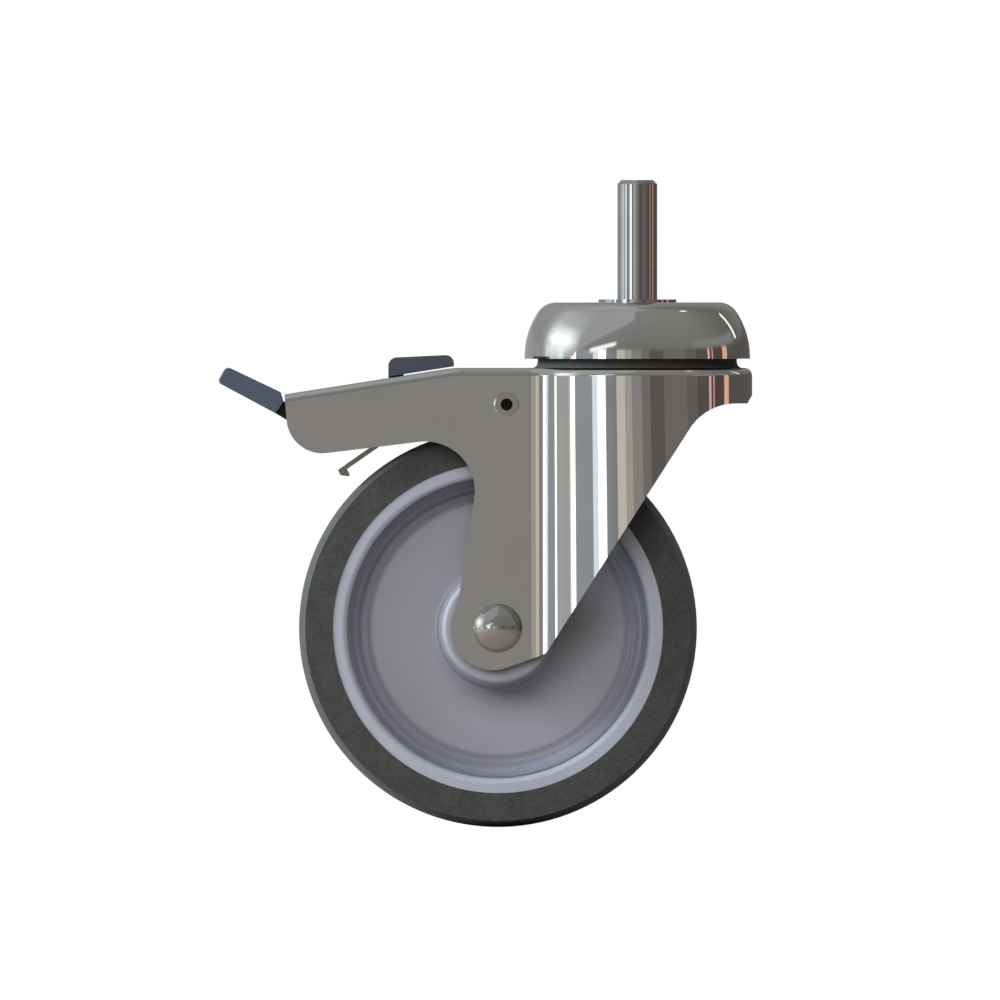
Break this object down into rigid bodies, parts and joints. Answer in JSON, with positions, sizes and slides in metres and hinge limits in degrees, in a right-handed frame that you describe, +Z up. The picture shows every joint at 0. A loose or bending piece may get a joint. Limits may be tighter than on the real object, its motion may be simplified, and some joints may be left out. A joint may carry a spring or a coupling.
{
  "type": "swivel castor",
  "caption": "Swivel castor with a plain stem, polished pressed fork, dished wheel and a rocking total-lock pedal.",
  "frame": {"origin": "on the stem's axis at the collar's flat top, where the furniture leg rests", "axes": "+Z up along the stem, wheel trails towards -X, axle along Y"},
  "size_m": [0.1702, 0.0733, 0.2065],
  "materials": {
    "polished_steel": "polished stainless sheet",
    "turned_steel": "polished turned stainless",
    "plated_steel": "bright zinc plate",
    "pressed_steel": "dull zinc plate",
    "plate_steel": "dull stainless sheet",
    "bearing_steel": "ground bearing steel",
    "spring_steel": "drawn spring wire",
    "seal_rubber": "matt black rubber",
    "tread_rubber": "dark grey moulded rubber",
    "wheel_plastic": "lavender grey moulded plastic",
    "pad_plastic": "slate blue moulded plastic",
    "lever_plastic": "black moulded plastic"
  },
  "bodies": {
    "head": {"stem": "turned_steel", "head_cover": "polished_steel", "upper_race": "pressed_steel", "lock_ring": "pressed_steel", "lower_race": "pressed_steel", "kingpin_washer": "plated_steel", "kingpin_nut": "plated_steel"},
    "fork": {"fork": "polished_steel", "dust_seal": "seal_rubber", "fork_race_upper": "pressed_steel", "fork_race_lower": "pressed_steel", "upper_balls": "bearing_steel", "lower_balls": "bearing_steel", "axle_bolt": "turned_steel", "axle_nut": "plated_steel", "axle_sleeve": "plated_steel", "axle_washers": "plated_steel", "bearing_spacer": "plated_steel", "bearing_inner_rings": "bearing_steel", "pivot_pin": "plated_steel", "pedal_bracket": "pressed_steel", "pedal_pin": "plated_steel"},
    "wheel": {"wheel_centre": "wheel_plastic", "tyre": "tread_rubber", "bearing_outer_rings": "bearing_steel", "bearing_balls": "bearing_steel", "bearing_shields": "plated_steel"},
    "pedal": {"pedal_lever": "lever_plastic", "rear_pad": "pad_plastic", "release_pad": "pad_plastic"},
    "brake": {"brake_plate": "plate_steel", "brake_bush": "plated_steel", "return_spring": "spring_steel"}
  },
  "joints": [
    {"name": "swivel", "type": "hinge", "parent": "head", "child": "fork", "pos_m": [0, 0, 0], "axis": [0, 0, 1], "continuous": true},
    {"name": "wheel_spin", "type": "hinge", "parent": "fork", "child": "wheel", "pos_m": [-0.04445, 0, -0.1049], "axis": [0, 1, 0], "continuous": true},
    {"name": "pedal_rock", "type": "hinge", "parent": "fork", "child": "pedal", "pos_m": [-0.08038, 0, -0.03222], "axis": [0, -1, 0], "range_deg": [0, 20]},
    {"name": "brake_pivot", "type": "hinge", "parent": "fork", "child": "brake", "pos_m": [-0.0417, 0, -0.03354], "axis": [0, -1, 0], "range_deg": [0, 4.4], "deforming": ["return_spring"]}
  ],
  "couplings": [
    {"joint": "brake_pivot", "follows": "pedal_rock", "ratio": 0.22}
  ]
}
